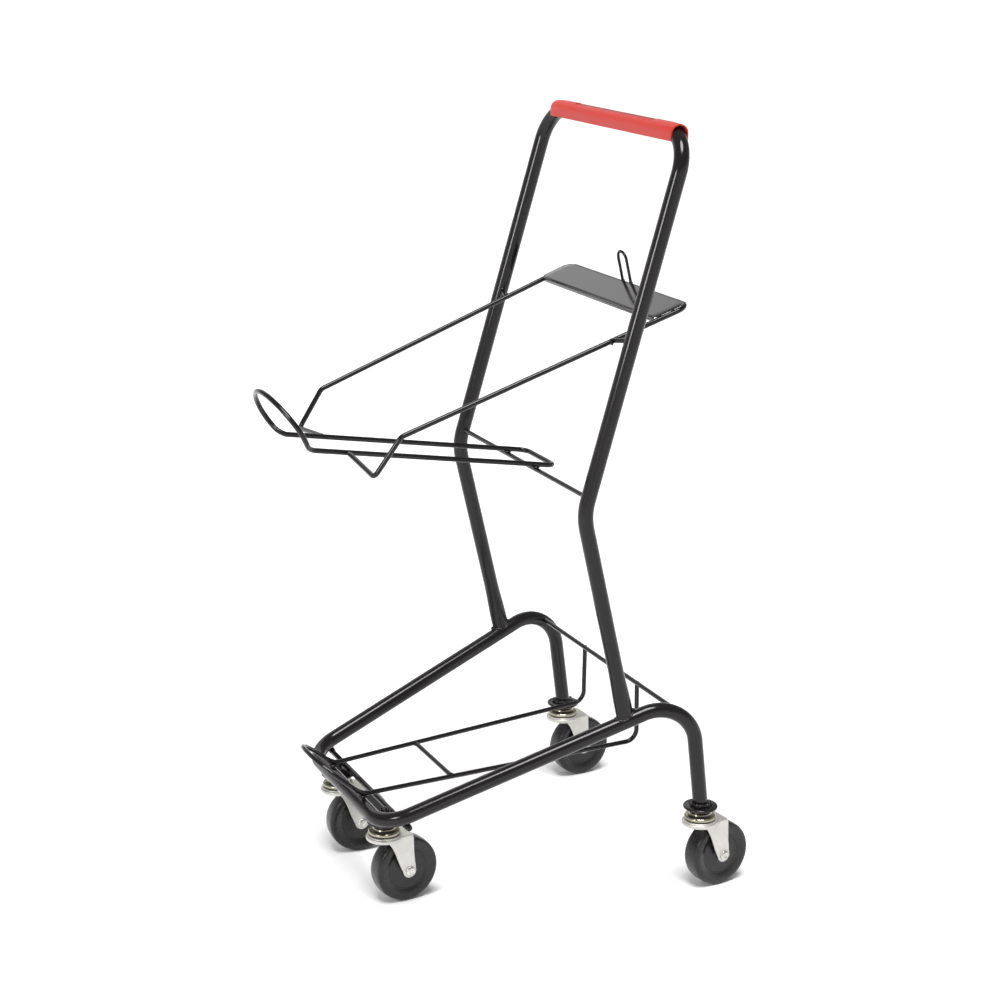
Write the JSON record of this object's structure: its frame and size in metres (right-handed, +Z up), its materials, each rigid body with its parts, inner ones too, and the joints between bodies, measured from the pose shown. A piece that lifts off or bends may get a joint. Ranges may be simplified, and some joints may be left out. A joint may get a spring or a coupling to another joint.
{
  "type": "basket trolley",
  "caption": "Two-tier trolley frame for hand-held shopping baskets: bent tube frame, wire runners and rack, rear shelf wire, clip-on red grip and swivel casters.",
  "frame": {"origin": "centre of the bounding box on the floor plane under the wheels", "axes": "+Z up, the two front loops point towards -Y and the push handle stands at +Y, +X is the left-hand side of someone walking forwards (-Y) seen from the front"},
  "size_m": [0.4449, 0.5745, 0.9636],
  "materials": {
    "frame_black": "glossy black powder coat",
    "shelf_sheet": "glossy black powder coat on sheet",
    "grip_red": "satin red moulded plastic",
    "race_steel": "yellowish zinc plate",
    "fork_zinc": "bright zinc plate, pressed sheet",
    "bolt_steel": "zinc plate",
    "wheel_core": "satin dark plastic",
    "wheel_tread": "smooth dark grey tread"
  },
  "bodies": {
    "frame": {"base_frame": "frame_black", "handle_frame": "frame_black", "hand_grip": "grip_red", "shelf_wire": "frame_black", "runner_wire": "frame_black", "mid_crossbar": "frame_black", "shelf_stub_left": "frame_black", "shelf_stub_right": "frame_black", "shelf_plate": "shelf_sheet", "shelf_hairpin": "frame_black", "rack_wire": "frame_black", "rear_cross_wire": "frame_black", "rack_cross_wire": "frame_black", "front_cross_wire": "frame_black", "front_left_collar": "frame_black", "front_left_kingpin": "frame_black", "front_left_upper_race": "race_steel", "front_right_collar": "frame_black", "front_right_kingpin": "frame_black", "front_right_upper_race": "race_steel", "rear_left_collar": "frame_black", "rear_left_kingpin": "bolt_steel", "rear_left_upper_race": "race_steel", "rear_right_collar": "frame_black", "rear_right_kingpin": "bolt_steel", "rear_right_upper_race": "race_steel"},
    "front_left_swivel": {"front_left_fork": "fork_zinc", "front_left_axle": "bolt_steel", "front_left_axle_nut": "bolt_steel"},
    "front_left_wheel": {"front_left_wheel_hub": "wheel_core", "front_left_tyre": "wheel_tread"},
    "front_right_swivel": {"front_right_fork": "fork_zinc", "front_right_axle": "bolt_steel", "front_right_axle_nut": "bolt_steel"},
    "front_right_wheel": {"front_right_wheel_hub": "wheel_core", "front_right_tyre": "wheel_tread"},
    "rear_left_swivel": {"rear_left_fork": "fork_zinc", "rear_left_axle": "bolt_steel", "rear_left_axle_nut": "bolt_steel"},
    "rear_left_wheel": {"rear_left_wheel_hub": "wheel_core", "rear_left_tyre": "wheel_tread"},
    "rear_right_swivel": {"rear_right_fork": "fork_zinc", "rear_right_axle": "bolt_steel", "rear_right_axle_nut": "bolt_steel"},
    "rear_right_wheel": {"rear_right_wheel_hub": "wheel_core", "rear_right_tyre": "wheel_tread"}
  },
  "joints": [
    {"name": "front_left_swivel_turn", "type": "hinge", "parent": "frame", "child": "front_left_swivel", "pos_m": [0.083, -0.1658, 0.09], "axis": [0, 0, 1], "continuous": true},
    {"name": "front_left_wheel_spin", "type": "hinge", "parent": "front_left_swivel", "child": "front_left_wheel", "pos_m": [0.08018, -0.13895, 0.0424], "axis": [0.9945, 0.1045, 0], "continuous": true},
    {"name": "front_right_swivel_turn", "type": "hinge", "parent": "frame", "child": "front_right_swivel", "pos_m": [-0.083, -0.1658, 0.09], "axis": [0, 0, 1], "continuous": true},
    {"name": "front_right_wheel_spin", "type": "hinge", "parent": "front_right_swivel", "child": "front_right_wheel", "pos_m": [-0.08159, -0.13884, 0.0424], "axis": [0.9986, -0.0523, 0], "continuous": true},
    {"name": "rear_left_swivel_turn", "type": "hinge", "parent": "frame", "child": "rear_left_swivel", "pos_m": [0.1993, 0.218, 0.09], "axis": [0, 0, 1], "continuous": true},
    {"name": "rear_left_wheel_spin", "type": "hinge", "parent": "rear_left_swivel", "child": "rear_left_wheel", "pos_m": [0.19554, 0.24474, 0.0424], "axis": [0.9903, 0.1392, 0], "continuous": true},
    {"name": "rear_right_swivel_turn", "type": "hinge", "parent": "frame", "child": "rear_right_swivel", "pos_m": [-0.1993, 0.218, 0.09], "axis": [0, 0, 1], "continuous": true},
    {"name": "rear_right_wheel_spin", "type": "hinge", "parent": "rear_right_swivel", "child": "rear_right_wheel", "pos_m": [-0.20118, 0.24493, 0.0424], "axis": [0.9976, 0.0698, 0], "continuous": true}
  ]
}
